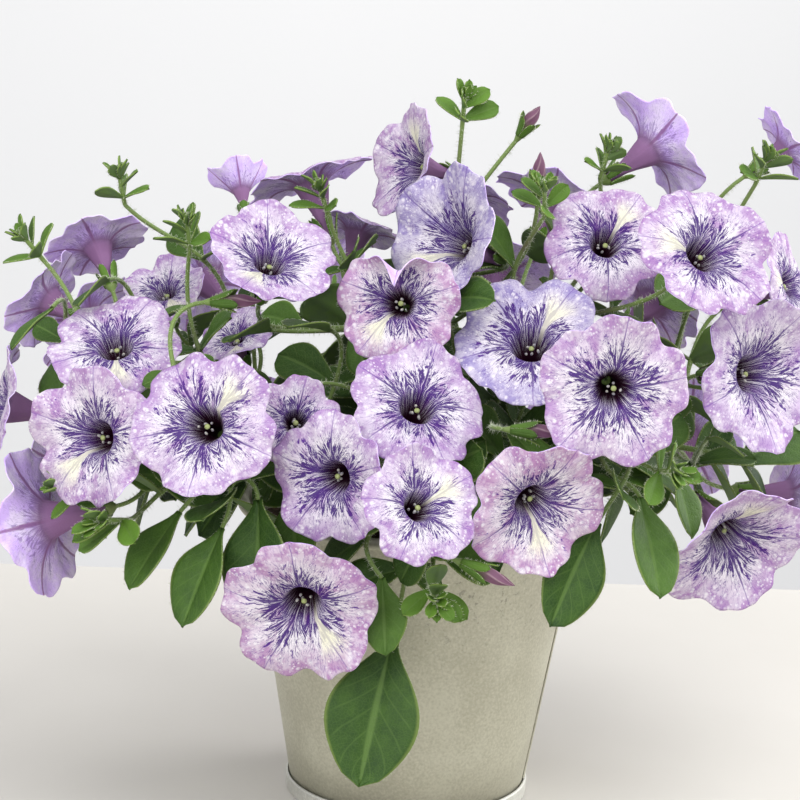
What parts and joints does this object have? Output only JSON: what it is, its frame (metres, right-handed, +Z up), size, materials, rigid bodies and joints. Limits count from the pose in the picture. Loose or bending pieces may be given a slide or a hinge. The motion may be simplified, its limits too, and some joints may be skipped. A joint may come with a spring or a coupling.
{
  "type": "petunia in galvanised pot",
  "caption": "Bushy petunia in full bloom, with speckled lilac trumpet flowers and soft green leaves, in a plain tapered galvanised steel pot.",
  "frame": {"origin": "centre of the pot's underside, on the surface that the pot stands on", "axes": "+Z up along the pot's axis, +X to the plant's right as seen from its front, -Y towards the front"},
  "size_m": [0.3508, 0.2809, 0.3095],
  "materials": {
    "galvanised_steel": "satin",
    "galvanised_steel_ring": "satin",
    "potting_soil": "matte",
    "foliage": "matte",
    "petals": "matte"
  },
  "bodies": {
    "root": {"pot_wall": "galvanised_steel", "pot_base": "galvanised_steel_ring", "soil": "potting_soil", "shoot_front": "foliage", "shoot_front_right": "foliage", "shoot_right": "foliage", "shoot_back_right": "foliage", "shoot_back": "foliage", "shoot_back_left": "foliage", "shoot_left": "foliage", "shoot_front_left": "foliage", "shoot_crown_left": "foliage", "shoot_crown_right": "foliage", "shoot_crown_back": "foliage", "bloom_01": "petals", "bloom_02": "petals", "bloom_03": "petals", "bloom_04": "petals", "bloom_05": "petals", "bloom_06": "petals", "bloom_07": "petals", "bloom_08": "petals", "bloom_09": "petals", "bloom_10": "petals", "bloom_11": "petals", "bloom_12": "petals", "bloom_13": "petals", "bloom_14": "petals", "bloom_15": "petals", "bloom_16": "petals", "bloom_17": "petals", "bloom_18": "petals", "bloom_19": "petals", "bloom_20": "petals", "bloom_21": "petals", "bloom_22": "petals", "bloom_23": "petals", "bloom_24": "petals", "bloom_25": "petals", "bloom_26": "petals", "bloom_27": "petals", "bloom_28": "petals", "bloom_29": "petals", "bloom_30": "petals", "bloom_31": "petals", "bloom_32": "petals", "bloom_33": "petals", "bloom_34": "petals", "bloom_35": "petals", "bloom_36": "petals", "bloom_37": "petals", "bloom_38": "petals", "bloom_39": "petals", "bloom_40": "petals", "bloom_41": "petals", "bloom_42": "petals", "bloom_43": "petals", "bloom_44": "petals", "bloom_45": "petals", "bloom_46": "petals"}
  },
  "joints": []
}
